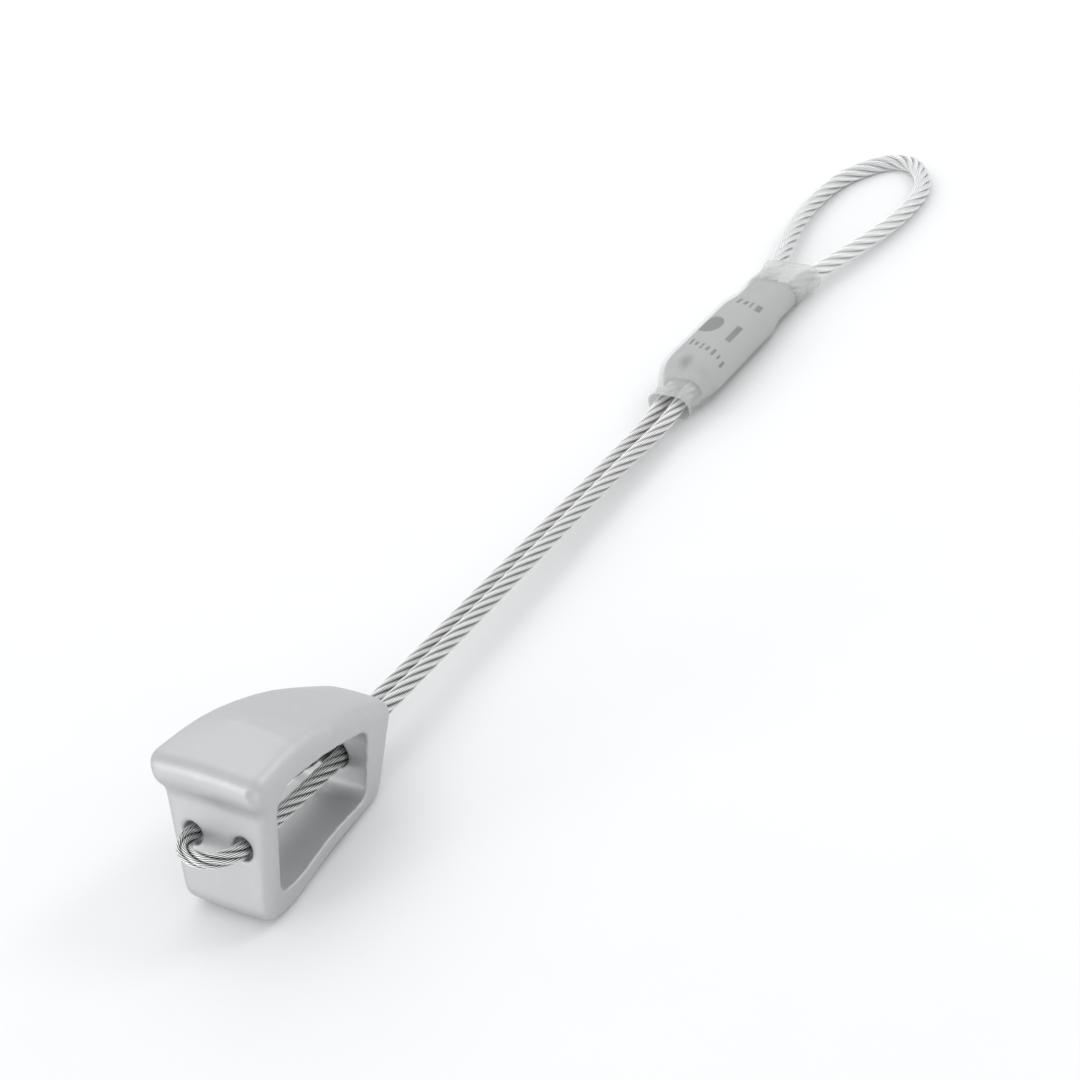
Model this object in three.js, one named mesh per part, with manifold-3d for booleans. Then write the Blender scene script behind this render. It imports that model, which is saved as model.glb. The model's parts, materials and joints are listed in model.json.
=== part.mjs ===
// A wired climbing nut, lying on a table.
//
// A wedge-shaped aluminium head hangs in a bight of wire rope. The two legs of the bight run back
// side by side as the stem, pass through a pressed ferrule and meet again in the clip loop. A grey
// printed sleeve covers the ferrule, and a clear shrunk tube covers the sleeve.
//
// Units are millimetres, +Z is up, and +X runs from the wide end of the head to the clip loop.
// The wedge is drawn in its own frame: x from its wide end to its narrow end, z up, with the origin
// at the bottom of its wide end. The rest is drawn in the stem's frame: x along the stem from the
// point where the wires leave the head, and z up from the plane that both wires lie in.

import * as THREE from 'three';
import { mergeVertices } from 'three/addons/utils/BufferGeometryUtils.js';
import Module from 'manifold-3d';

// Wire rope
const ROPE_DIAMETER = 3.2;
const ROPE_SIDES = 8;
const ROPE_STEP = 7; // length of one straight piece of a gently curved rope
const GAP = 0.3; // left between pieces that touch
const STEM_SPACING = 3.5; // between the middles of the two wires
const JOINT_GAP = ROPE_DIAMETER / 2 + GAP; // left before the middle of a bend in the rope
const FERRULE_SPACING = 4.4;

// Stations along the stem
const STEM_BEND = 57;
const FLARE_START = 92;
const TUBE_START = 112;
const SLEEVE_START = 118;
const FERRULE_START = 122;
const CABLE_END = 138; // the rope's two ends meet here, inside the ferrule
const FERRULE_END = 153;
const SLEEVE_END = 157.5;
const TUBE_END = 166.5;
const LOOP_BEND = 167;
const LOOP_TIP = 219.6;

// The wires rise a little before the sleeve, which lies parallel to the stem and above it.
const LIFT_START = 105;
const LIFT_END = 125;
const LIFT = 2.4;

// Head
const EXIT = { x: 40, z: 18.5 }; // where the wires leave the head, in the head's frame
const KINK = THREE.MathUtils.degToRad(13.9); // the stem rises this much from the head's base
const HALF_WIDTH = 10.4; // at the bottom of the wide end
const WIDTH_RISE = 0.105; // half width gained for each millimetre of height
const WIDTH_TAPER = 0.1; // half width lost for each millimetre toward the narrow end
// The narrow end is flat in the middle and round at its sides, and it leans out toward the top.
const CROWN = { x: 42.1, z: 24, flat: 4.5, radius: 5 };
const LEAN = THREE.MathUtils.degToRad(19);
const HOLE_SPACING = 12.2;
const HOLE_HEIGHT = 13.7;
const HOLE_DIAMETER = 4.6;
const SLOT_WIDTH = 8.6;
const SLOT_HEIGHT = 4.6;

// The stem droops toward the loop until the sleeve touches the table.
const DROOP = THREE.MathUtils.degToRad(2.66);

const wasm = await Module();
wasm.setup();

const aluminium = new THREE.MeshStandardMaterial({ color: 0xc9cacb, roughness: 0.38, metalness: 1 });
const steel = new THREE.MeshStandardMaterial({ color: 0xc4c5c4, roughness: 0.3, metalness: 1 });
const copper = new THREE.MeshStandardMaterial({ color: 0xb9b4ae, roughness: 0.4, metalness: 1 });
const greySleeve = new THREE.MeshStandardMaterial({ color: 0xa9aaaa, roughness: 0.6, metalness: 0 });
const clearTube = new THREE.MeshStandardMaterial({ color: 0xd9dadb, roughness: 0.25, metalness: 0 });

// ---------------------------------------------------------------- helpers

function piece(name, geometry, material) {
  const mesh = new THREE.Mesh(geometry, material);
  mesh.name = name;
  return mesh;
}

function toSolid(geometry) {
  geometry.deleteAttribute('normal');
  geometry.deleteAttribute('uv');
  const merged = mergeVertices(geometry, 1e-4);
  return new wasm.Manifold(new wasm.Mesh({
    numProp: 3,
    vertProperties: new Float32Array(merged.attributes.position.array),
    triVerts: new Uint32Array(merged.index.array),
  }));
}

function toGeometry(solid) {
  const mesh = solid.getMesh();
  const geometry = new THREE.BufferGeometry();
  geometry.setAttribute('position', new THREE.BufferAttribute(mesh.vertProperties, 3));
  geometry.setIndex(new THREE.BufferAttribute(mesh.triVerts, 1));
  return geometry;
}

// A closed outline through corners [x, z, cut]. Each corner is rounded from the point that lies
// cut before it to the point that lies cut after it.
function softOutline(corners) {
  const points = corners.map(([x, z]) => new THREE.Vector2(x, z));
  const outline = new THREE.Shape();
  corners.forEach(([x, z, cut], i) => {
    const previous = points.at(i - 1);
    const next = points[(i + 1) % points.length];
    const before = points[i].clone().lerp(previous, cut / points[i].distanceTo(previous));
    const after = points[i].clone().lerp(next, cut / points[i].distanceTo(next));
    if (i === 0) outline.moveTo(before.x, before.y);
    else outline.lineTo(before.x, before.y);
    outline.quadraticCurveTo(x, z, after.x, after.y);
  });
  outline.closePath();
  return outline;
}

// A side view extruded across the head, so that the outline's second number becomes z.
function acrossHead(outline, width) {
  const geometry = new THREE.ExtrudeGeometry(outline, {
    depth: width, bevelEnabled: false, curveSegments: 8,
  });
  geometry.translate(0, 0, -width / 2);
  geometry.rotateX(Math.PI / 2);
  return geometry;
}

function circle(radius, sides) {
  const outline = new THREE.Shape();
  for (let i = 0; i < sides; i += 1) {
    const turn = (i + 0.5) * 2 * Math.PI / sides;
    if (i === 0) outline.moveTo(radius * Math.cos(turn), radius * Math.sin(turn));
    else outline.lineTo(radius * Math.cos(turn), radius * Math.sin(turn));
  }
  outline.closePath();
  return outline;
}

// A length of rope. Where it bends at a joint, the side that moves has a round end in the middle
// of the bend, so that it turns without touching the side that stays.
function rope(name, points, { step = ROPE_STEP, roundEnds = [] } = {}) {
  const path = new THREE.CatmullRomCurve3(points.map((p) => new THREE.Vector3(...p)));
  const steps = Math.max(2, Math.ceil(path.getLength() / step));
  const tube = new THREE.ExtrudeGeometry(circle(ROPE_DIAMETER / 2, ROPE_SIDES), {
    steps, extrudePath: path,
  });
  if (roundEnds.length === 0) return piece(name, tube, steel);
  const solid = roundEnds.reduce((joined, [x, y, z]) => {
    const ball = new THREE.SphereGeometry(ROPE_DIAMETER / 2, 12, 8);
    ball.translate(x, y, z);
    return joined.add(toSolid(ball));
  }, toSolid(tube));
  return piece(name, toGeometry(solid), steel);
}

// ---------------------------------------------------------------- head

// The flanks are flat. They lean out toward the top and close in toward the narrow end.
function halfWidth(x, z) {
  return HALF_WIDTH + WIDTH_RISE * z - WIDTH_TAPER * x;
}

function flanks() {
  const geometry = new THREE.BoxGeometry(50, 2, 44);
  geometry.translate(20, 0, 16);
  const at = geometry.attributes.position;
  for (let i = 0; i < at.count; i += 1) {
    at.setY(i, Math.sign(at.getY(i)) * halfWidth(at.getX(i), at.getZ(i)));
  }
  return toSolid(geometry);
}

function sideView() {
  return softOutline([
    [-0.1, -0.3, 1.6],
    [7.5, -0.2, 4],
    [20, 4.2, 5],
    [36, 7.5, 1.8],
    [41.7, 24.5, 1.8],
    [19.3, 33.3, 18.5],
    [-2.2, 28.9, 2.4],
    [-2.2, 24, 1.5],
    [-0.1, 21.7, 1.5],
  ]);
}

function windowView() {
  return softOutline([
    [3.3, 4, 1.6],
    [9, 4.2, 3],
    [19, 7.9, 4],
    [30.7, 9.8, 1.9],
    [31.9, 23.6, 1.9],
    [17, 25.8, 10],
    [3.3, 24.8, 3.6],
  ]);
}

// A hole through the wide end, in line with the leg of rope that runs through it.
function frontHole(side) {
  const geometry = new THREE.CylinderGeometry(HOLE_DIAMETER / 2, HOLE_DIAMETER / 2, 12, 20);
  geometry.rotateZ(Math.PI / 2);
  geometry.rotateY(THREE.MathUtils.degToRad(-5));
  geometry.rotateZ(THREE.MathUtils.degToRad(-7 * side));
  geometry.translate(1.5, side * (HOLE_SPACING / 2 - 0.2), HOLE_HEIGHT + 0.1);
  return toSolid(geometry);
}

// One oblong slot takes both legs through the narrow end.
function rearSlot() {
  const radius = SLOT_HEIGHT / 2;
  const reach = SLOT_WIDTH / 2 - radius;
  const outline = new THREE.Shape();
  outline.absarc(0, reach, radius, 0, Math.PI);
  outline.absarc(0, -reach, radius, Math.PI, 2 * Math.PI);
  const geometry = new THREE.ExtrudeGeometry(outline, {
    depth: 18, bevelEnabled: false, curveSegments: 10,
  });
  geometry.translate(0, 0, -9);
  geometry.rotateY(Math.PI / 2 - THREE.MathUtils.degToRad(11));
  geometry.translate(36.5, 0, 17.9);
  return toSolid(geometry);
}

// A leaning upright bar with round front corners, which shapes the narrow end.
function narrowEnd() {
  const { x, z, flat, radius } = CROWN;
  const outline = new THREE.Shape();
  outline.moveTo(-70, -30);
  outline.lineTo(-radius, -30);
  outline.absarc(-radius, -flat, radius, -Math.PI / 2, 0);
  outline.absarc(-radius, flat, radius, 0, Math.PI / 2);
  outline.lineTo(-radius, 30);
  outline.lineTo(-70, 30);
  outline.closePath();
  const geometry = new THREE.ExtrudeGeometry(outline, {
    depth: 120, bevelEnabled: false, curveSegments: 8,
  });
  geometry.translate(0, 0, -60);
  geometry.rotateY(LEAN);
  geometry.translate(x, 0, z);
  return toSolid(geometry);
}

function head() {
  const solid = toSolid(acrossHead(sideView(), 40))
    .intersect(flanks())
    .intersect(narrowEnd())
    .subtract(toSolid(acrossHead(windowView(), 60)))
    .subtract(frontHole(1))
    .subtract(frontHole(-1))
    .subtract(rearSlot());
  return piece('head', toGeometry(solid), aluminium);
}

// The rope's bight: up one leg through the head, over the wide end, and back down the other leg.
function bight() {
  const leg = [
    [EXIT.x - JOINT_GAP, 1.85, 17.95],
    [35, 2.05, 17.1],
    [20, 3.8, 15.4],
    [3.5, 5.7, 14],
    [-1.5, 6, 13.5],
    [-4.9, 3.7, 13.1],
  ];
  const otherLeg = leg.map(([x, y, z]) => [x, -y, z]).reverse();
  return rope('bight_wire', [...leg, [-6, 0, 13], ...otherLeg], { step: 2.8 });
}

// ---------------------------------------------------------------- stem

function lowerWire(side, name) {
  const y = side * STEM_SPACING / 2;
  const points = [[0, y, 0], [STEM_BEND - JOINT_GAP, y, 0]];
  return rope(`lower_stem_wire_${name}`, points, { step: 20, roundEnds: [points[0]] });
}

function lift(x) {
  return LIFT * THREE.MathUtils.smoothstep(x, LIFT_START, LIFT_END);
}

// Half the distance between the two wires beyond the stem's bend.
const FLARE = [
  [STEM_BEND, STEM_SPACING / 2],
  [FLARE_START, STEM_SPACING / 2],
  [FLARE_START + 14, 1.95],
  [FERRULE_START - 2, FERRULE_SPACING / 2],
  [FERRULE_START + 6, FERRULE_SPACING / 2],
  [FERRULE_END - 6, FERRULE_SPACING / 2],
  [FERRULE_END + 1, 2.35],
  [FERRULE_END + 6, 3.2],
  [LOOP_BEND - JOINT_GAP, 4.4],
];

// The left wire runs on through the ferrule without a break.
function upperWireLeft() {
  const points = FLARE.map(([x, y]) => [x, y, lift(x)]);
  return rope('upper_stem_wire_left', points, { roundEnds: [points[0]] });
}

// The right wire ends inside the ferrule.
function upperWireRight() {
  const points = FLARE.slice(0, 5).map(([x, y]) => [x, -y, lift(x)]);
  const end = CABLE_END - GAP / 2;
  points.push([end, -FERRULE_SPACING / 2, lift(end)]);
  return rope('upper_stem_wire_right', points, { roundEnds: [points[0]] });
}

// The far end of the rope comes back from the clip loop to meet it.
function loopTail() {
  const points = FLARE.slice(5).map(([x, y]) => [x, -y, lift(x)]);
  const end = CABLE_END + GAP / 2;
  return rope('loop_tail_wire', [[end, -FERRULE_SPACING / 2, lift(end)], ...points]);
}

// ---------------------------------------------------------------- ferrule and its covers

function oval(halfSpacing, radius, segments) {
  const points = [];
  for (const side of [1, -1]) {
    for (let i = 0; i <= segments; i += 1) {
      const turn = i * Math.PI / segments;
      points.push([side * (halfSpacing + radius * Math.sin(turn)), side * radius * Math.cos(turn)]);
    }
  }
  return points;
}

// A tube wall through oval sections [x, half spacing, radius, drop below the wires' plane]. The
// sections run along the outside, then back along the inside, and the last one joins the first.
function ovalTube(sections) {
  const rings = sections.map(([x, spacing, radius, drop = 0]) => (
    oval(spacing, radius, 8).map(([y, z]) => [x, y, z - drop])
  ));
  const around = rings[0].length;
  const index = [];
  rings.forEach((ring, i) => {
    const here = i * around;
    const next = ((i + 1) % rings.length) * around;
    for (let j = 0; j < around; j += 1) {
      const k = (j + 1) % around;
      index.push(here + j, next + k, here + k, here + j, next + j, next + k);
    }
  });
  const geometry = new THREE.BufferGeometry();
  geometry.setAttribute('position', new THREE.Float32BufferAttribute(rings.flat(2), 3));
  geometry.setIndex(index);
  return geometry;
}

function ferrule() {
  const halfSpacing = FERRULE_SPACING / 2;
  const outline = new THREE.Shape(oval(halfSpacing, 2.9, 8).map(([y, z]) => new THREE.Vector2(z, y)));
  for (const side of [1, -1]) {
    const bore = new THREE.Path();
    bore.absarc(0, side * halfSpacing, ROPE_DIAMETER / 2 + GAP, 0, 2 * Math.PI);
    outline.holes.push(bore);
  }
  const geometry = new THREE.ExtrudeGeometry(outline, {
    depth: FERRULE_END - FERRULE_START, bevelEnabled: false, curveSegments: 8,
  });
  geometry.translate(0, 0, FERRULE_START);
  geometry.rotateY(Math.PI / 2);
  return piece('ferrule', geometry, copper);
}

function idSleeve() {
  const geometry = ovalTube([
    [SLEEVE_START, 2.3, 3.5, 0.6],
    [FERRULE_START, 2.3, 4.3],
    [FERRULE_START + 8, 2.3, 4.3],
    [FERRULE_END, 2.2, 3.9],
    [SLEEVE_END, 2.6, 3.5],
    [SLEEVE_END, 2.6, 2.7],
    [FERRULE_END, 2.2, 3.3],
    [FERRULE_START, 2.3, 3.3],
    [SLEEVE_START, 2.3, 2.7, 0.6],
  ]);
  return piece('id_sleeve', geometry, greySleeve);
}

function clearCover() {
  const geometry = ovalTube([
    [TUBE_START, 2.4, 3.3, 2],
    [TUBE_START + 3.5, 2.5, 3.8, 1.6],
    [SLEEVE_START + 1, 2.4, 4.2, 0.6],
    [FERRULE_START + 2, 2.4, 5.1],
    [FERRULE_START + 10, 2.4, 5.1],
    [FERRULE_END, 2.3, 4.5],
    [SLEEVE_END + 1, 2.9, 4],
    [TUBE_END - 3, 3.7, 3],
    [TUBE_END, 4.6, 2.7],
    [TUBE_END, 4.6, 2.1],
    [TUBE_END - 3, 3.9, 2.4],
    [SLEEVE_END + 0.6, 2.7, 3.65],
    [FERRULE_END, 2.2, 4.1],
    [FERRULE_START + 9, 2.3, 4.6],
    [FERRULE_START, 2.3, 4.6],
    [SLEEVE_START - 0.5, 2.3, 3.9, 0.6],
    [TUBE_START, 2.3, 2.8, 2],
  ]);
  return piece('clear_tube', geometry, clearTube);
}

// ---------------------------------------------------------------- clip loop

function clipLoop() {
  const leg = [
    [LOOP_BEND, 4.9],
    [173, 6.7],
    [181.5, 9.2],
    [191, 11.4],
    [200, 12.1],
    [209, 10.9],
    [215.4, 7.1],
    [218.8, 3.2],
  ];
  const otherLeg = leg.map(([x, y]) => [x, -y]).reverse();
  const points = [...leg, [LOOP_TIP, 0], ...otherLeg].map(([x, y]) => [x, y, LIFT]);
  return rope('clip_loop_wire', points, { step: 3.2, roundEnds: [points.at(0), points.at(-1)] });
}

// ---------------------------------------------------------------- assembly

const headFrame = new THREE.Group();
headFrame.position.set(-EXIT.x, 0, -EXIT.z);
headFrame.add(head(), bight());

const headGroup = new THREE.Group();
headGroup.rotation.y = KINK;
headGroup.add(headFrame);

const covers = new THREE.Group();
covers.position.z = LIFT;
covers.add(ferrule(), idSleeve(), clearCover());

const nut = new THREE.Group();
nut.rotation.y = DROOP;
nut.add(
  headGroup,
  lowerWire(1, 'left'),
  lowerWire(-1, 'right'),
  upperWireLeft(),
  upperWireRight(),
  loopTail(),
  covers,
  clipLoop(),
);

// The origin is on the table, under the middle of the whole nut.
const extent = new THREE.Box3().setFromObject(nut, true);
nut.position.set(-(extent.min.x + extent.max.x) / 2, 0, -extent.min.z);

const part = new THREE.Group();
part.add(nut);
part.updateMatrixWorld(true);

export default part;
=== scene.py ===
# %% [markdown]
# # A wired climbing nut
# A climbing nut is a metal wedge on a loop of wire rope. This lesson builds one around a frame of
# plain solids that already has its true sizes and its bending joints. First come the camera and
# the light, then the rope, the head, the sleeve and its clear cover, and last the finishes.

import json
import math

import bpy
import numpy as np
from mathutils import Matrix, Quaternion, Vector


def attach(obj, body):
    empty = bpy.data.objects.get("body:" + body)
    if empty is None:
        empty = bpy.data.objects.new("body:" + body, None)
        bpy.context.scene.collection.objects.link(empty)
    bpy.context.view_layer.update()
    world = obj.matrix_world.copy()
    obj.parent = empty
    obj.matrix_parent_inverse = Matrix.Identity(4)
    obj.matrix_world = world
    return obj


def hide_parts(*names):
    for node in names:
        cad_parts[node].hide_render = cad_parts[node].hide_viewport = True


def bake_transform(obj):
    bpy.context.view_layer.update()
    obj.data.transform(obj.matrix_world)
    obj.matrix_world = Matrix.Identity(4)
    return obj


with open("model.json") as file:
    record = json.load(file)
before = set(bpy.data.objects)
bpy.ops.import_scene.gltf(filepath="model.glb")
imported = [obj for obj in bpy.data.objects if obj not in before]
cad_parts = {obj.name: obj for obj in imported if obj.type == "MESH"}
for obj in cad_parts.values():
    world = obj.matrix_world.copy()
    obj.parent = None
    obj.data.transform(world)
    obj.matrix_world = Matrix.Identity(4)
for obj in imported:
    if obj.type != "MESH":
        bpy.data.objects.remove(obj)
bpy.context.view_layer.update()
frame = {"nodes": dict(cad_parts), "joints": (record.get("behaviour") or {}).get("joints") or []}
MM = 0.001

# %% [markdown]
# ## Two working frames
# The head is drawn square to its own flat base, and the stem along its own straight line. Both are
# tilted on the table. One matrix for each frame lets every piece be drawn in easy numbers, in
# millimetres, and put in place at the end.

# %% The head's frame and the stem's frame
KINK = math.radians(13.9)  # the stem rises this much from the head's base
DROOP = math.radians(2.66)  # the stem droops this much toward the clip loop
EXIT = Vector((40, 0, 18.5))  # where the wires leave the head, in the head's frame
STEM_BEND = 57  # stations along the stem
SLEEVE_START = 118
SLEEVE_END = 157.5
TUBE_START = 112
TUBE_END = 166.5
LIFT = 2.4  # the sleeve lies this far above the wires' plane

joint_place = {joint["name"]: Vector(joint["pos_m"]) for joint in frame["joints"]}
stem_frame = (
    Matrix.Translation(joint_place["head_flex"])
    @ Matrix.Rotation(DROOP, 4, "Y")
    @ Matrix.Scale(MM, 4)
)
head_frame = stem_frame @ Matrix.Rotation(KINK, 4, "Y") @ Matrix.Translation(-EXIT)


def on_stem(x, y, z):
    return stem_frame @ Vector((x, y, z))


print("stem bend at", on_stem(STEM_BEND, 0, 0), "joint at", joint_place["stem_flex"])

# %% [markdown]
# ## Camera
# A long lens from the wide end of the head shows the window in its near flank and the whole rope
# behind it. The camera is placed, aimed at the middle of the nut and then rolled, so that the stem
# climbs steeply to the right.

# %% Camera
CAMERA_PLACE = Vector((-285.3, -302.8, 238.6))  # in the head's frame
CAMERA_AIM = Vector((77.4, -17.8, 45.7))
CAMERA_ROLL = math.radians(-4.79)
LENS = 86.94
SENSOR_WIDTH = 36

camera_data = bpy.data.cameras.new("camera")
camera_data.sensor_width = SENSOR_WIDTH
camera_data.lens = LENS
camera = bpy.data.objects.new("camera", camera_data)
bpy.context.scene.collection.objects.link(camera)
aim = (CAMERA_AIM - CAMERA_PLACE).to_track_quat("-Z", "Y")
camera.rotation_mode = "QUATERNION"
camera.rotation_quaternion = (
    head_frame.to_quaternion() @ aim @ Quaternion((0, 0, 1), CAMERA_ROLL)
)
camera.location = head_frame @ CAMERA_PLACE
bpy.context.scene.camera = camera
print("camera at", camera.location)

# %% [markdown]
# ## Table and light
# Satin metal shows what it reflects, so the light matters as much as the finish. A bright even sky
# keeps the metal light all round, and one large lamp high behind the nut brightens its back. Two
# small lamps draw soft lines, one along the flank's rounded edge and one along the rolled lip.

# %% Table and light
SKY = (0.93, 0.94, 0.95, 1)
SKY_STRENGTH = 0.96
TABLE_SIZE = 6

world = bpy.data.worlds.new("studio")
bpy.context.scene.world = world
world.use_nodes = True
background = world.node_tree.nodes["Background"]
background.inputs["Color"].default_value = SKY
background.inputs["Strength"].default_value = SKY_STRENGTH
bpy.context.scene.view_settings.view_transform = "Standard"


def add_lamp(name, place, size, power):
    """A round lamp, aimed at the middle of the nut."""
    lamp = bpy.data.lights.new(name, "AREA")
    lamp.shape = "DISK"
    lamp.size = size
    lamp.energy = power
    holder = bpy.data.objects.new(name, lamp)
    holder.location = place
    holder.rotation_euler = (-Vector(place)).to_track_quat("-Z", "Y").to_euler()
    bpy.context.scene.collection.objects.link(holder)


add_lamp("back_lamp", (0.3, 0.45, 0.7), 0.9, 1.4)
add_lamp("edge_lamp", (0.4, -0.45, 0.6), 0.25, 0.9)
add_lamp("lip_lamp", (-0.85, 0.5, 0.14), 0.35, 1.6)

bpy.ops.object.select_all(action="DESELECT")
bpy.ops.mesh.primitive_plane_add(size=TABLE_SIZE, location=(0, 0, 0))
table = bpy.context.object
table.name = "table"

# %% [markdown]
# ## The rope's route
# One rope makes the whole nut. It starts inside the ferrule, runs down the stem, through the head
# and round its wide end, back up the stem, round the clip loop and into the ferrule again. Both
# halves mirror each other, so a list of points from the middle of the bight to the tip of the clip
# loop is enough. A centripetal Catmull-Rom curve runs through the points and never swings wide.

# %% Route points for the left half
ROPE_RADIUS = 1.6
LIFT_START = 105
LIFT_END = 125
BIGHT_POINTS = [
    (-6, 0, 13),
    (-4.9, 3.7, 13.1),
    (-1.5, 6, 13.5),
    (3.5, 5.7, 14),
    (20, 3.8, 15.4),
    (35, 2.05, 17.1),
    (38.1, 1.85, 17.95),
]
STEM_POINTS = [
    (0, 1.72),
    (28, 1.63),
    (STEM_BEND, 1.63),
    (92, 1.63),
    (106, 1.95),
    (120, 2.2),
    (128, 2.2),
    (138, 2.2),
    (147, 2.2),
    (154, 2.35),
    (159, 3.2),
    (165.1, 4.4),
    (173, 6.7),
    (181.5, 9.2),
    (191, 11.4),
    (200, 12.1),
    (209, 10.9),
    (215.4, 7.1),
    (218.8, 3.2),
    (219.6, 0),
]


def lift(x):
    """How far the wires have risen above the stem's line at a station."""
    share = min(max((x - LIFT_START) / (LIFT_END - LIFT_START), 0), 1)
    return LIFT * share * share * (3 - 2 * share)


head_to_stem = Matrix.Rotation(KINK, 4, "Y") @ Matrix.Translation(-EXIT)
half_points = [head_to_stem @ Vector(point) for point in BIGHT_POINTS]
half_points += [Vector((x, y, lift(x))) for x, y in STEM_POINTS]
print(len(half_points), "points on the left half")

# %% A smooth curve through the points
MIRROR = np.array([1, -1, 1])


def smooth_route(points, pieces=30):
    """Close points along a curve whose two ends are met by its own mirror image."""
    points = np.array([tuple(point) for point in points])
    knots = np.array([points[1] * MIRROR, *points, points[-2] * MIRROR])
    dense = []
    for p in zip(knots, knots[1:], knots[2:], knots[3:]):
        t = np.cumsum([0, *(math.dist(a, b) ** 0.5 for a, b in zip(p, p[1:]))])
        u = np.linspace(t[1], t[2], pieces, endpoint=False)[:, None]

        def between(a, b, start, end):
            return ((end - u) * a + (u - start) * b) / (end - start)

        a = [between(p[i], p[i + 1], t[i], t[i + 1]) for i in range(3)]
        b = [between(a[i], a[i + 1], t[i], t[i + 2]) for i in range(2)]
        dense.extend(between(b[0], b[1], t[1], t[2]))
    return np.array([*dense, points[-1]])


half_route = smooth_route(half_points)
right_half = half_route[::-1] * MIRROR
route = np.concatenate([right_half, half_route[1:], right_half[1:]])
steps = np.linalg.norm(np.diff(route, axis=0), axis=1)
along = np.concatenate([[0], np.cumsum(steps)])
HALF_LENGTH = along[len(half_route) - 1]
along -= HALF_LENGTH  # 0 is the middle of the bight


def station(x):
    """The rope's length from the middle of the bight to a station on the left side of the stem."""
    part = half_route[half_route[:, 0] >= 0]
    start = len(right_half) - 1 + len(half_route) - len(part)
    return np.interp(x, part[:, 0], along[start : start + len(part)])


print("middle of the bight to the tip of the clip loop:", round(HALF_LENGTH, 1), "mm")

# %% [markdown]
# ## Wire rope
# The rope has six strands laid round a core strand, and each strand has nineteen fine wires. They
# are laid the other way round the strand, so that the wires that show run almost straight along
# the rope. A bump map would lose the dark grooves between the strands at the edges of the rope, so
# each strand is a real tube on a helix, with small lobes for its wires. Eight lobes stand for the
# twelve outer wires of a real strand, which would be too fine to see. A frame that is carried along
# the route without twisting keeps the helix even through every bend. The clip loop has a thin
# coating, so the rope is drawn a little thicker there, and its finish is a little paler.

# %% A frame carried along the route
tangents = np.gradient(route, axis=0)
tangents /= np.linalg.norm(tangents, axis=1)[:, None]
sideways = [np.array([0.0, 0.0, 1.0])]
for tangent in tangents:
    flat = sideways[-1] - tangent * np.dot(sideways[-1], tangent)
    sideways.append(flat / np.linalg.norm(flat))
sideways = np.array(sideways[1:])

# %% One length of rope
STRANDS = 6
WIRES = 8
LAY = 22.0  # length of rope in which a strand goes once round
RING_STEP = 0.5
STRAND_RADIUS = ROPE_RADIUS / 3
LOBE = (0.68, 0.93, 1.0, 0.93)  # radii from one groove between wires to the next
CORE_SIDES = 12
# The core gets a low depth, so the finish paints it with the groove shade.
CORE_DEPTH = 0.2  # the core lies deep in the rope
SWELL_LENGTH = 12  # length over which a coating reaches its full thickness


def select_only(piece):
    bpy.ops.object.select_all(action="DESELECT")
    piece.select_set(True)
    bpy.context.view_layer.objects.active = piece


def rings_to_faces(rings, around, first):
    """Quads between rings, and one face to close each end."""
    faces = []
    for i in range(rings - 1):
        for j in range(around):
            a = first + i * around + j
            b = first + i * around + (j + 1) % around
            faces.append((a, b, b + around, a + around))
    faces.append(tuple(first + j for j in reversed(range(around))))
    faces.append(tuple(first + (rings - 1) * around + j for j in range(around)))
    return faces


def strand_points(places, tangent, normal, middle, turn):
    """The surface points of one strand, and how far out each lies, lowered between wires to paint
    shade.
    """
    across = np.cross(tangent, normal)
    outward = np.cos(turn)[:, None] * normal + np.sin(turn)[:, None] * across
    centre = middle + outward * (ROPE_RADIUS - STRAND_RADIUS)
    heading = np.gradient(centre, places, axis=0)
    heading /= np.linalg.norm(heading, axis=1)[:, None]
    beside = np.cross(heading, outward)
    beside /= np.linalg.norm(beside, axis=1)[:, None]
    around = np.arange(WIRES * len(LOBE)) * 2 * math.pi / (WIRES * len(LOBE))
    angle = around[None, :] - (ROPE_RADIUS / STRAND_RADIUS) * turn[:, None]
    radius = STRAND_RADIUS * np.tile(LOBE, WIRES)[None, :, None]
    offset = (
        np.cos(angle)[:, :, None] * outward[:, None, :]
        + np.sin(angle)[:, :, None] * beside[:, None, :]
    )
    points = centre[:, None, :] + radius * offset
    reach = np.linalg.norm(points - middle[:, None, :], axis=2) / ROPE_RADIUS
    # Squared lobe radii lower the value between the wires, where the finish paints shade.
    groove = np.tile(LOBE, WIRES)[None, :] ** 2
    return points.reshape(-1, 3), (reach * groove).reshape(-1)


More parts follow.
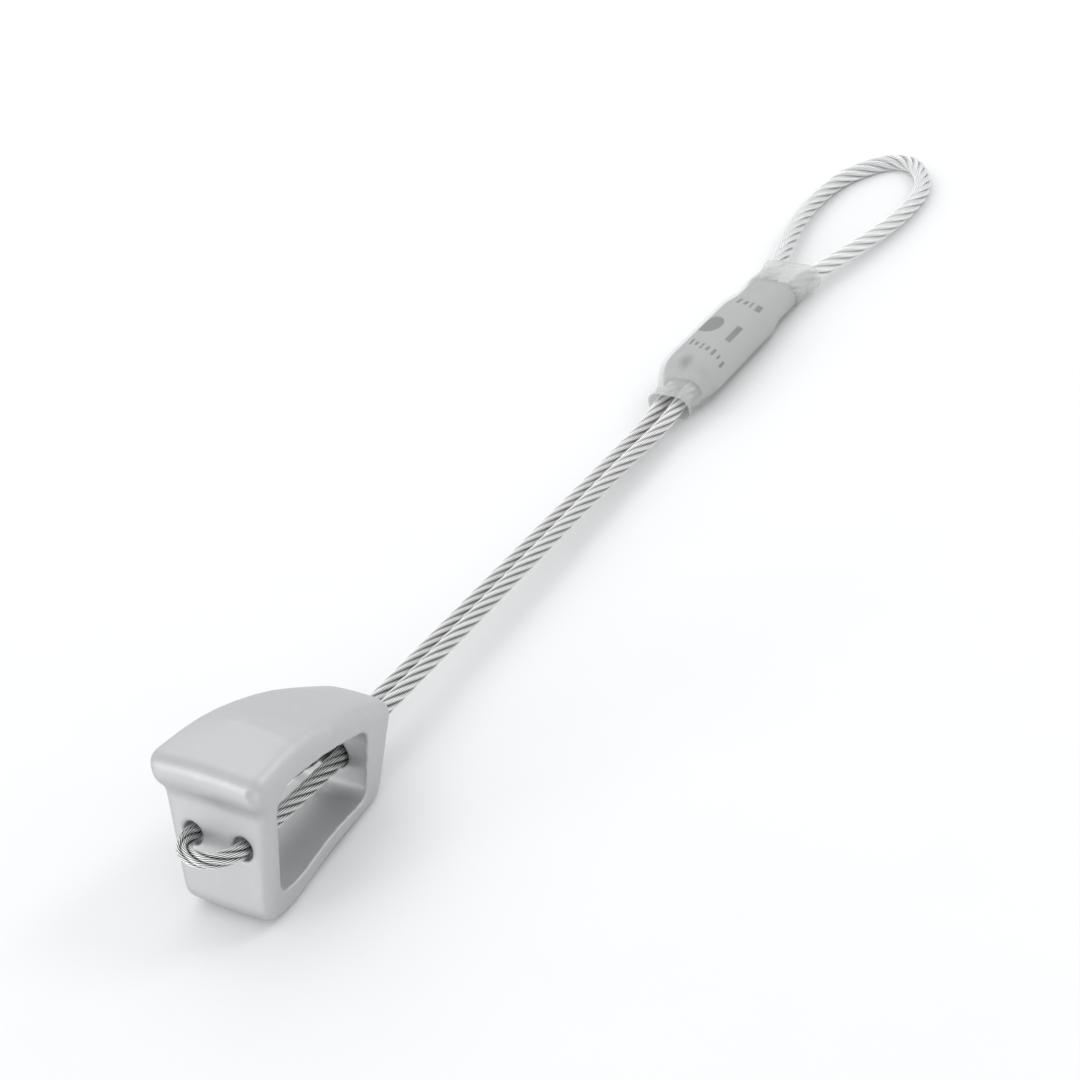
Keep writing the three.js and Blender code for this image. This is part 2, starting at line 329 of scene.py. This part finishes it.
def lay_rope(name, start, end, swell=0):
    """The rope between two lengths from the middle of the bight, thicker by a share, swell."""
    places = np.linspace(start, end, int(abs(end - start) / RING_STEP) + 2)
    middle = np.stack([np.interp(places, along, route[:, i]) for i in range(3)], 1)
    tangent = np.stack([np.interp(places, along, tangents[:, i]) for i in range(3)], 1)
    normal = np.stack([np.interp(places, along, sideways[:, i]) for i in range(3)], 1)
    points, depths, faces = [], [], []
    count = 0
    for strand in range(STRANDS):
        turn = 2 * math.pi * places / LAY + strand * 2 * math.pi / STRANDS
        surface, depth = strand_points(places, tangent, normal, middle, turn)
        points.append(surface)
        depths.append(depth)
        faces += rings_to_faces(len(places), WIRES * len(LOBE), count)
        count += len(surface)
    around = np.arange(CORE_SIDES) * 2 * math.pi / CORE_SIDES
    across = np.cross(tangent, normal)
    core = middle[:, None, :] + STRAND_RADIUS * (
        np.cos(around)[None, :, None] * normal[:, None, :]
        + np.sin(around)[None, :, None] * across[:, None, :]
    )
    points.append(core.reshape(-1, 3))
    depths.append(np.full(core.shape[0] * CORE_SIDES, CORE_DEPTH))
    faces += rings_to_faces(len(places), CORE_SIDES, count)
    from_end = np.minimum(places - start, end - places)
    thick = 1 + swell * np.clip(from_end / SWELL_LENGTH, 0, 1)
    centres = np.concatenate([np.repeat(middle, len(p) // len(places), 0) for p in points])
    thick = np.concatenate([np.repeat(thick, len(p) // len(places)) for p in points])
    surface = centres + (np.concatenate(points) - centres) * thick[:, None]
    mesh = bpy.data.meshes.new(name)
    mesh.from_pydata(surface.tolist(), [], faces)
    # The depth attribute tells the finish where to paint the groove shade.
    depth = mesh.attributes.new("depth", "FLOAT", "POINT")
    depth.data.foreach_set("value", np.concatenate(depths).astype(np.float32))
    mesh.transform(stem_frame)
    rope = bpy.data.objects.new(name, mesh)
    bpy.context.scene.collection.objects.link(rope)
    select_only(rope)
    bpy.ops.object.shade_smooth_by_angle(angle=math.radians(80))
    print(name, round(abs(end - start), 1), "mm long,", len(faces), "faces")
    return rope


# %% The rope in four lengths
STEM_CUT = 25
FERRULE_MIDDLE = 138
LOOP_CUT = 152
COATING = 0.25  # how much thicker the coated clip loop is, as a share

rope_bight = lay_rope("rope_bight", -station(STEM_CUT), station(STEM_CUT))
rope_left = lay_rope("rope_stem_left", station(STEM_CUT), station(LOOP_CUT))
rope_right = lay_rope("rope_stem_right", -station(FERRULE_MIDDLE), -station(STEM_CUT))
rope_loop = lay_rope(
    "rope_clip_loop", station(LOOP_CUT), 2 * HALF_LENGTH - station(LOOP_CUT), COATING
)

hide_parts("bight_wire")
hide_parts("lower_stem_wire_left", "upper_stem_wire_left")
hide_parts("lower_stem_wire_right", "upper_stem_wire_right")
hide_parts("clip_loop_wire", "loop_tail_wire")
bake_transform(rope_bight)
for rope in (rope_left, rope_right):
    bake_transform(rope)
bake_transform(rope_loop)

# %% [markdown]
# ## The head: a wedge from its side view
# The head is cut from a bar of aluminium. Seen from the side it tapers in steps along its base,
# swells into a long round back and ends in a rolled lip over the wide end. A box cut by planes
# would lose those curves, so the side view is drawn as one outline, as a circle primitive whose
# points are moved onto it. It is then extruded across the head in slices.

# %% Helpers for modelling
def soft_outline(corners, arc=8):
    """Points round an outline of corners (x, z, cut). An arc runs from cut before each to cut after."""
    outline = []
    for i, (x, z, cut) in enumerate(corners):
        corner = Vector((x, z))
        to_before = (Vector(corners[i - 1][:2]) - corner).normalized()
        to_after = (Vector(corners[(i + 1) % len(corners)][:2]) - corner).normalized()
        half_angle = to_before.angle(to_after) / 2
        middle = corner + (to_before + to_after).normalized() * cut / math.cos(half_angle)
        start = corner + to_before * cut - middle
        end = corner + to_after * cut - middle
        sweep = math.pi - 2 * half_angle
        for step in range(arc + 1):
            share = step / arc * sweep
            mixed = start * math.sin(sweep - share) + end * math.sin(share)
            outline.append(middle + mixed / math.sin(sweep))
    return outline


def outline_face(name, outline, y):
    """A flat face with the given outline, facing -Y, in the head's own millimetres."""
    bpy.ops.object.select_all(action="DESELECT")
    bpy.ops.mesh.primitive_circle_add(vertices=len(outline), radius=1, fill_type="NGON")
    piece = bpy.context.object
    piece.name = name
    for vertex, point in zip(piece.data.vertices, outline):
        vertex.co = (point.x, y, point.y)
    return piece


def apply_modifier(piece, kind, **settings):
    select_only(piece)
    bpy.ops.object.modifier_add(type=kind)
    modifier = piece.modifiers[-1]
    for name, value in settings.items():
        setattr(modifier, name, value)
    bpy.ops.object.modifier_apply(modifier=modifier.name)


def outward_normals(piece):
    select_only(piece)
    bpy.ops.object.mode_set(mode="EDIT")
    bpy.ops.mesh.select_all(action="SELECT")
    bpy.ops.mesh.normals_make_consistent(inside=False)
    bpy.ops.object.mode_set(mode="OBJECT")


def extrude_across(piece, places):
    """Extrudes the whole face along Y, from its first place to each of the others."""
    select_only(piece)
    bpy.ops.object.mode_set(mode="EDIT")
    bpy.ops.mesh.select_all(action="SELECT")
    for before, after in zip(places, places[1:]):
        bpy.ops.mesh.extrude_region_move(
            TRANSFORM_OT_translate={"value": (0, after - before, 0)}
        )
    bpy.ops.object.mode_set(mode="OBJECT")
    outward_normals(piece)


# %% The head's side view, extruded
HALF_WIDTH = 10.9  # at the bottom of the wide end
WIDTH_RISE = 0.097  # half width gained for each millimetre of height
WIDTH_TAPER = 0.1  # half width lost for each millimetre toward the narrow end
EDGE_RADIUS = 2.3  # of the rounded edges between the flanks and the rest
ROUND_STEPS = 6
SLICES = 14
SIDE_VIEW = [
    (-0.5, -1.1, 3),
    (7.5, -0.9, 3),
    (20, 4.0, 4),
    (36.2, 7.7, 2.2),
    (41.9, 24.6, 2.4),
    (19.3, 33.3, 18),
    (-2.4, 29, 2.6),
    (-2.4, 23.8, 1.5),
    (-0.2, 21.5, 1.4),
]

inner = HALF_WIDTH - EDGE_RADIUS
turns = [math.pi / 2 * step / ROUND_STEPS for step in range(1, ROUND_STEPS + 1)]
rounded = [inner + EDGE_RADIUS * math.sin(turn) for turn in turns]
places = [-y for y in reversed(rounded)] + list(np.linspace(-inner, inner, SLICES)) + rounded
outline = soft_outline(SIDE_VIEW)
head = outline_face("nut_head", outline, places[0])
extrude_across(head, places)
print("head blank:", len(head.data.polygons), "faces")

# %% [markdown]
# ## Round flank edges
# A bevel of this size would trip over the tight curve under the rolled lip. Instead each slice near
# a flank shrinks toward the middle of the side view by just as much as a quarter circle falls back
# there, and every point moves square to the outline.

# %% Shrink the outer slices
inward = {}
for i, point in enumerate(outline):
    run = outline[(i + 1) % len(outline)] - outline[i - 1]
    inward[round(point.x, 3), round(point.y, 3)] = Vector((-run.y, run.x)).normalized()

for vertex in head.data.vertices:
    x, y, z = vertex.co
    beyond = min(max(abs(y) - inner, 0), EDGE_RADIUS)
    fall = EDGE_RADIUS - math.sqrt(EDGE_RADIUS**2 - beyond**2)
    move = inward[round(x, 3), round(z, 3)] * fall
    vertex.co = (x + move.x, y, z + move.y)
print("fully round at the flanks, radius", EDGE_RADIUS, "mm")

# %% [markdown]
# ## Lean, taper and crown
# The flanks lean out toward the top and close in toward the narrow end. The back, the base and the
# narrow end are not flat across the head but slightly domed, so that the nut beds itself in a
# crack. These are smooth moves of every point, written as short formulas.

# %% Lean, taper and crown
NARROW_FLAT = 4.5  # half width of the flat middle of the narrow end
NARROW_ROUND = 7  # radius of its round sides, seen from above
BACK_CROWN = 0.65  # how far the middle of the back stands above its edges
WIDE_CROWN = 1.1  # how much more it does a little behind the rolled lip
BASE_CROWN = 0.5


def ease(value, start, end):
    """0 before the start, 1 after the end, and a smooth step between them."""
    t = min(max((value - start) / (end - start), 0), 1)
    return t * t * (3 - 2 * t)


for vertex in head.data.vertices:
    x, y, z = vertex.co
    spread = (HALF_WIDTH + WIDTH_RISE * z - WIDTH_TAPER * x) / HALF_WIDTH
    dome = 1 - (y / HALF_WIDTH) ** 2
    y *= spread
    beyond = min(max(abs(y) - NARROW_FLAT, 0), NARROW_ROUND)
    fall = NARROW_ROUND - math.sqrt(NARROW_ROUND**2 - beyond**2)
    # The back is domed, and a little more between the lip and the middle of its length.
    swelling = WIDE_CROWN * ease(x, 1, 11) * ease(-x, -24, -11)
    z += (BACK_CROWN + swelling) * dome * ease(z, 18, 27)
    # The base is domed downward at the wide end only.
    z -= BASE_CROWN * dome * ease(-z, -6, -1) * ease(-x, -26, -8)
    # The sides of the narrow end fall back.
    x -= fall * ease(x, 24, 38)
    vertex.co = (x, y, z)
print("head width:", round(max(v.co.y for v in head.data.vertices) * 2, 1), "mm")

# %% [markdown]
# ## Window, holes and slot
# The window goes right through from flank to flank. Two round holes take the wires into the wide
# end, and one oblong slot lets them out of the narrow end. Each is a cutter of its own shape, taken
# away with a Boolean.

# %% Cutters
HOLE_DIAMETER = 4.6
HOLE_PLACE = (1.5, 5.9, 13.8)  # the middle of the left hole's cutter
HOLE_TILT = math.radians(85)
HOLE_SPLAY = math.radians(7)
SLOT = (8.6, 4.8)  # its width across the head and its height
SLOT_PLACE = (36.5, 0, 17.9)
SLOT_TILT = math.radians(90 - 11)
CUTTER_REACH = 30  # far enough to stand clear of both flanks
WINDOW_VIEW = [
    (3.3, 4.1, 2),
    (9, 4.3, 3),
    (19, 8, 4),
    (30.7, 9.9, 2.2),
    (31.9, 23.6, 2.2),
    (17, 25.9, 10),
    (3.3, 24.8, 3.8),
]


def cut_away(piece, cutter):
    """Takes a cutter's shape out of a piece, and then removes the cutter."""
    outward_normals(cutter)
    apply_modifier(piece, "BOOLEAN", object=cutter, operation="DIFFERENCE", solver="MANIFOLD")
    bpy.data.objects.remove(cutter)


window = outline_face("window_cutter", soft_outline(WINDOW_VIEW), -CUTTER_REACH)
extrude_across(window, [-CUTTER_REACH, CUTTER_REACH])
cut_away(head, window)

for side in (1, -1):
    bpy.ops.object.select_all(action="DESELECT")
    bpy.ops.mesh.primitive_cylinder_add(
        vertices=48,
        radius=HOLE_DIAMETER / 2,
        depth=12,
        location=(HOLE_PLACE[0], side * HOLE_PLACE[1], HOLE_PLACE[2]),
    )
    hole = bpy.context.object
    hole.rotation_euler = (0, HOLE_TILT, -side * HOLE_SPLAY)
    bpy.ops.object.transform_apply(location=True, rotation=True, scale=True)
    cut_away(head, hole)

bpy.ops.object.select_all(action="DESELECT")
bpy.ops.mesh.primitive_cylinder_add(vertices=48, radius=SLOT[1] / 2, depth=18)
slot = bpy.context.object
reach = (SLOT[0] - SLOT[1]) / 2
# Moving the two halves of the cylinder apart makes its round end an oblong.
for vertex in slot.data.vertices:
    vertex.co.y += math.copysign(reach, vertex.co.y)
slot.rotation_euler = (0, SLOT_TILT, 0)
slot.location = SLOT_PLACE
bpy.ops.object.transform_apply(location=True, rotation=True, scale=True)
cut_away(head, slot)
print("head with its openings:", len(head.data.polygons), "faces")

# %% [markdown]
# ## Soft lips
# The finished head has been tumbled, so even its small edges are soft. A voxel remesh turns the
# whole head into small even squares, and a few rounds of smoothing then soften every lip alike
# without touching the flat faces. One knock at the end of the rolled lip is pressed in at a given
# place.

# %% Remesh and smooth
VOXEL = 0.3
head.data.remesh_voxel_size = VOXEL
apply_modifier(head, "REMESH", mode="VOXEL", voxel_size=VOXEL, use_smooth_shade=True)
apply_modifier(head, "SMOOTH", factor=0.5, iterations=12)

DENT = Vector((-2.2, -12.3, 26.6))  # a knock at one end of the rolled lip
DENT_RADIUS = 1.7
DENT_PUSH = Vector((0.4, 0.35, 0))
for vertex in head.data.vertices:
    near = 1 - ((vertex.co - DENT).length / DENT_RADIUS) ** 2
    if near > 0:
        vertex.co += DENT_PUSH * near**2

head.data.transform(head_frame)
head.data.shade_smooth()
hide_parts("head")
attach(head, "head")
print("finished head:", len(head.data.polygons), "faces")

# %% [markdown]
# ## Sleeve and clear tube
# A grey sleeve is slid over the ferrule, and a clear tube is shrunk over the sleeve. Both are oval,
# because two wires lie side by side inside them, and both swell over the ferrule. Each starts as
# an open cylinder along the stem, cut into many short rings. One table of stations says how wide
# and how high it is along its length, and a Solidify modifier gives the wall its thickness.

# %% A shaped oval tube
SLEEVE_SECTIONS = [
    # station, half spacing, radius, drop below the sleeve's own plane
    (SLEEVE_START, 2.2, 2.7, 0.9),
    (119.5, 2.3, 3.5, 0.5),
    (121.5, 2.35, 4.3, 0.1),
    (124, 2.35, 4.6, 0),
    (146, 2.3, 4.5, 0),
    (150, 2.25, 3.8, 0),
    (152, 2.25, 3.6, 0),
    (SLEEVE_END, 2.5, 3.5, 0),
]
TUBE_SECTIONS = [
    (TUBE_START, 2.35, 2.8, 1.7),
    (113.2, 2.15, 2.6, 1.5),
    (114.5, 2.0, 2.45, 1.3),
    (116.5, 2.1, 2.9, 0.9),
    (118.5, 2.3, 3.9, 0.45),
    (121, 2.4, 4.85, 0.1),
    (124, 2.4, 5, 0),
    (146, 2.35, 4.9, 0),
    (148.5, 2.3, 4.5, 0),
    (151, 2.3, 4, 0),
    (157, 2.6, 3.9, 0),
    (159.5, 3, 3.3, 0),
    (162, 3.5, 2.8, 0),
    (165, 4.3, 2.6, 0),
    (TUBE_END, 4.6, 2.7, 0),
]


def section_at(sections, x):
    """Half spacing, radius and drop at a station between the listed ones."""
    table = np.array(sections)
    return [np.interp(x, table[:, 0], table[:, column]) for column in (1, 2, 3)]


def shaped_tube(name, sections, wall, rings, sides=64):
    """An oval tube along the stem, with attributes for its station and its turn in degrees."""
    start, end = sections[0][0], sections[-1][0]
    bpy.ops.object.select_all(action="DESELECT")
    bpy.ops.mesh.primitive_cylinder_add(
        vertices=sides, radius=1, depth=end - start, end_fill_type="NOTHING"
    )
    piece = bpy.context.object
    piece.name = name
    # Only the long edges are selected, so that subdividing them adds rings.
    for edge in piece.data.edges:
        a, b = (piece.data.vertices[i].co for i in edge.vertices)
        edge.select = abs(a.z - b.z) > 1
    for group in (piece.data.vertices, piece.data.polygons):
        for item in group:
            item.select = False
    bpy.context.tool_settings.mesh_select_mode = (False, True, False)
    bpy.ops.object.mode_set(mode="EDIT")
    bpy.ops.mesh.subdivide(number_cuts=rings)
    bpy.ops.object.mode_set(mode="OBJECT")
    for vertex in piece.data.vertices:
        across, up, length = vertex.co
        x = (start + end) / 2 + length
        half_spacing, radius, drop = section_at(sections, x)
        y = across * radius + math.copysign(half_spacing, across) * min(1, abs(across) * 12)
        vertex.co = (x, y, up * radius + LIFT - drop)
    outward_normals(piece)
    apply_modifier(piece, "SMOOTH", factor=0.5, iterations=2)
    apply_modifier(piece, "SOLIDIFY", thickness=wall, offset=-1)
    apply_modifier(piece, "BEVEL", width=wall * 0.3, segments=2, angle_limit=math.radians(50))
    places = {"station": [], "turn": []}
    for vertex in piece.data.vertices:
        x, y, z = vertex.co
        places["station"].append(x)
        places["turn"].append(math.degrees(math.atan2(z - LIFT, -y)))
    for label, values in places.items():
        attribute = piece.data.attributes.new(label, "FLOAT", "POINT")
        attribute.data.foreach_set("value", values)
    piece.data.transform(stem_frame)
    piece.data.shade_smooth()
    print(name, len(piece.data.polygons), "faces")
    return piece


sleeve = shaped_tube("grey_sleeve", SLEEVE_SECTIONS, 0.5, 60)
clear_tube = shaped_tube("clear_cover", TUBE_SECTIONS, 0.35, 80)
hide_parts("id_sleeve")
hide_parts("clear_tube")
for piece in (sleeve, clear_tube):
    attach(piece, "stem_upper")

# %% [markdown]
# ## Finishes
# The finishes are made of nodes. Writing nodes one by one hides the idea, so a small class wraps a
# socket, and ordinary arithmetic on it adds the Math nodes. Any other node comes from one method.

# %% Arithmetic on sockets
class Shade:
    """A socket of a material's node tree, usable in Python sums."""

    def __init__(self, tree, socket=None):
        self.tree = tree
        self.socket = socket

    def node(self, kind, settings=(), inputs=(), output=0):
        made = self.tree.nodes.new(kind)
        for name, value in dict(settings).items():
            setattr(made, name, value)
        for name, value in dict(inputs).items():
            if isinstance(value, Shade):
                self.tree.links.new(value.socket, made.inputs[name])
            else:
                made.inputs[name].default_value = value
        return Shade(self.tree, made.outputs[output]) if made.outputs else None

    def math(self, operation, *values):
        return self.node("ShaderNodeMath", {"operation": operation}, enumerate(values))

    def __add__(self, other):
        return self.math("ADD", self, other)

    def __radd__(self, other):
        return self.math("ADD", other, self)

    def __sub__(self, other):
        return self.math("SUBTRACT", self, other)

    def __rsub__(self, other):
        return self.math("SUBTRACT", other, self)

    def __mul__(self, other):
        return self.math("MULTIPLY", self, other)

    def __rmul__(self, other):
        return self.math("MULTIPLY", other, self)

    def __truediv__(self, other):
        return self.math("DIVIDE", self, other)

    def __pow__(self, other):
        return self.math("POWER", self, other)

    def clamp(self):
        return self.math("MAXIMUM", 0.0, self.math("MINIMUM", 1.0, self))

    def mix(self, factor, first, second):
        """A colour between two colours."""
        inputs = {0: factor, 6: first, 7: second}
        return self.node("ShaderNodeMix", {"data_type": "RGBA"}, inputs, output=2)

    def noise(self, place, scale, detail=3.0, roughness=0.5):
        inputs = {"Vector": place, "Scale": scale, "Detail": detail, "Roughness": roughness}
        return self.node("ShaderNodeTexNoise", {}, inputs)

    def bump(self, height, distance, strength=1.0):
        inputs = {"Height": height, "Distance": distance, "Strength": strength}
        return self.node("ShaderNodeBump", {}, inputs)


def grey(level):
    return (level, level, level, 1)


def new_finish(name):
    """A material with its Object coordinates ready, and nothing on its surface yet."""
    material = bpy.data.materials.new(name)
    material.use_nodes = True
    material.node_tree.nodes.clear()
    shade = Shade(material.node_tree)
    place = shade.node("ShaderNodeTexCoord", output=3)
    return material, shade, place


def surface(shade, **sockets):
    """Ends a material in a Principled BSDF with the given sockets."""
    named = {name.replace("_", " "): value for name, value in sockets.items()}
    shader = shade.node("ShaderNodeBsdfPrincipled", {}, named)
    shade.node("ShaderNodeOutputMaterial", {}, {"Surface": shader})


def dress(material, *pieces):
    for piece in pieces:
        piece.data.materials.clear()
        piece.data.materials.append(material)


# %% [markdown]
# ### Bead-blasted aluminium
# The head is blasted with fine beads and tumbled. Its grain is finer than half a millimetre, so it
# shows as a soft sheen more than as bumps. Broad faint clouds and a few dull rubbed patches keep
# the large faces from looking like plastic.

# %% Head finish
def head_finish():
    material, shade, place = new_finish("blasted_aluminium")
    clouds = shade.noise(place, 60.0, 4.0, 0.6)
    grain = shade.noise(place, 6500.0, 2.0, 0.6)
    rubbed = shade.noise(place, 220.0, 5.0, 0.65)
    wear = ((rubbed - 0.56) * 6).clamp()
    tone = (clouds * 0.5 + grain * 0.25 + wear * 0.25).clamp()
    colour = shade.mix(tone, (0.50, 0.503, 0.507, 1), (0.58, 0.583, 0.587, 1))
    roughness = 0.5 + clouds * 0.08 - wear * 0.05
    height = grain * 0.7 + shade.noise(place, 1500.0, 3.0) * 0.3
    surface(
        shade,
        Base_Color=colour,
        Metallic=0.7,
        Roughness=roughness,
        Normal=shade.bump(height, 0.00003, 0.5),
    )
    return material


dress(head_finish(), head)

# %% [markdown]
# ### Bright steel wire
# Drawn stainless wire is bright along its length. The shade between the strands and the wires is
# painted into the colour: the mesh carries how far out each point lies, and the colour and the
# roughness follow it. The painted groove shade is lighter near the sleeve and darker toward the head.

# %% Wire finish
GROOVE_SHADE_START = 0.02  # metres along the table, where the painted groove shade starts to darken
GROOVE_SHADE_RISE = 0.11  # metres over which the painted groove shade darkens toward the head


def wire_finish(name, bright, groove_shade_far, groove_shade_near, groove, crest):
    """Greys of crests and of painted groove shade far from the head and near it, then depths of groove
    and crest.
    """
    material, shade, place = new_finish(name)
    x = shade.node("ShaderNodeSeparateXYZ", {}, {"Vector": place})
    # Painted shade for the grooves and the core, darker toward the head.
    toward_head = ((GROOVE_SHADE_START - x) / GROOVE_SHADE_RISE).clamp()
    groove_shade = shade.mix(toward_head, grey(groove_shade_far), grey(groove_shade_near))
    depth = shade.node("ShaderNodeAttribute", {"attribute_name": "depth"}, output=2)
    # Low points take the painted groove shade, and the crests the wire's own bright grey.
    outer = ((depth - groove) / (crest - groove)).clamp()
    smudge = shade.noise(place, 900.0, 3.0)
    tone = (outer * (0.85 + smudge * 0.4)).clamp()
    surface(
        shade,
        Base_Color=shade.mix(tone, groove_shade, grey(bright)),
        Metallic=0.9,
        Roughness=0.5 - outer * 0.2 + smudge * 0.06,
        Normal=shade.bump(smudge, 0.00001, 0.3),
    )
    return material


dress(wire_finish("bright_wire", 1.0, 0.28, 0.03, 0.56, 0.92), rope_bight, rope_left, rope_right)
dress(wire_finish("coated_wire", 0.85, 0.5, 0.5, 0.3, 0.8), rope_loop)

# %% [markdown]
# ### Ferrule, sleeve and clear tube
# The pressed ferrule is hidden inside the sleeve, and only its dull steel could show at the ends.
# The sleeve is a soft grey plastic printed with plain marks: short bars, one longer bar and a dot,
# which stand for no maker and no text. A soft patch of painted shade over the ferrule's end stands
# for the hollow where the sleeve drops off it. The clear tube is slightly milky, so it is mostly a
# pale gloss with the grey showing through.

# %% Ferrule finish
def ferrule_finish():
    material, shade, place = new_finish("pressed_ferrule")
    scuff = shade.noise(place, 700.0, 4.0, 0.6)
    surface(
        shade,
        Base_Color=shade.mix(scuff, (0.34, 0.32, 0.3, 1), (0.58, 0.55, 0.51, 1)),
        Metallic=0.9,
        Roughness=0.35 + scuff * 0.2,
        Normal=shade.bump(scuff, 0.00005, 0.5),
    )
    return material


dress(ferrule_finish(), frame["nodes"]["ferrule"])


# %% Sleeve finish
# Each mark is a station, a turn round the sleeve in degrees, and half its size in both.
MARKS = [
    (125, 18, 1.1, 4),
    (125.8, 32, 0.8, 3),
    (126.2, 46, 1.2, 4),
    (126.8, 64, 0.8, 6),
    (127.4, 84, 1.2, 4),
    (128, 104, 0.8, 5),
    (128.4, 121, 1.2, 4),
    (134.2, 42, 3, 7),
    (145, 42, 1.2, 7),
    (145.4, 62, 1.2, 4),
    (146, 82, 0.9, 7),
    (146.6, 106, 1.2, 6),
]
DOT = (136, 118, 3.2)  # station, turn and radius
HOLLOW_SHADE = (121.6, 92, 2.6)  # the same for a soft patch of painted shade over the ferrule's end
DEGREE = 0.095  # length round the sleeve of one degree, in millimetres


def print_and_shade_mask(shade):
    """1 on the printed marks, less on the painted shade of the soft hollow, and 0 elsewhere."""
    station = shade.node("ShaderNodeAttribute", {"attribute_name": "station"}, output=2)
    turn = shade.node("ShaderNodeAttribute", {"attribute_name": "turn"}, output=2)

    def distance(value, middle):
        return shade.math("ABSOLUTE", value - middle)

    mask = shade.math("MAXIMUM", 0.0, 0.0)
    for x, angle, length, width in MARKS:
        inside = ((length - distance(station, x)) * 6).clamp()
        inside = inside * ((width - distance(turn, angle)) * 0.6).clamp()
        mask = shade.math("MAXIMUM", mask, inside)
    # The dot is print, and the soft hollow is painted shade.
    for (x, angle, radius), sharpness, strength in ((DOT, 6, 1.0), (HOLLOW_SHADE, 0.5, 0.6)):
        off = ((station - x) ** 2.0 + ((turn - angle) * DEGREE) ** 2.0) ** 0.5
        spot = ((radius - off) * sharpness).clamp() * strength
        mask = shade.math("MAXIMUM", mask, spot)
    return mask


def sleeve_finish():
    material, shade, place = new_finish("printed_sleeve")
    fibres = shade.noise(place, 3500.0, 3.0, 0.6)
    clouds = shade.noise(place, 120.0, 3.0)
    tone = (fibres * 0.5 + clouds * 0.5).clamp()
    plain = shade.mix(tone, grey(0.41), grey(0.47))
    # Printed ink and the painted shade of the hollow share one dark grey.
    ink_and_shade = print_and_shade_mask(shade) * (0.5 + clouds * 0.4)
    surface(
        shade,
        Base_Color=shade.mix(ink_and_shade, plain, grey(0.05)),
        Roughness=0.55 + fibres * 0.15,
        Normal=shade.bump(fibres, 0.00004, 0.5),
    )
    return material


dress(sleeve_finish(), sleeve)


# %% Clear tube finish
def clear_finish():
    """Nearly clear where it clings to the sleeve, and milky at its two free ends."""
    material, shade, place = new_finish("milky_tube")
    clouds = shade.noise(place, 150.0, 4.0)
    ripples = shade.noise(place, 400.0, 2.0)
    station = shade.node("ShaderNodeAttribute", {"attribute_name": "station"}, output=2)
    near_end = ((SLEEVE_START + 1.5 - station) / 3).clamp()
    far_end = ((station - SLEEVE_END + 1) / 3).clamp()
    free = shade.math("MAXIMUM", near_end, far_end)
    surface(
        shade,
        Base_Color=shade.mix(clouds, grey(0.6), grey(0.72)),
        Roughness=0.22 + ripples * 0.1,
        Alpha=0.07 + free * 0.3 + clouds * 0.08,
        Normal=shade.bump(ripples, 0.0001, 0.2),
    )
    return material


dress(clear_finish(), clear_tube)

# %% Table finish
def table_finish():
    material, shade, place = new_finish("pale_table")
    speckle = shade.noise(place, 40.0, 4.0)
    surface(
        shade,
        Base_Color=shade.mix(speckle, grey(0.89), grey(0.91)),
        Roughness=0.8,
    )
    return material


dress(table_finish(), table)
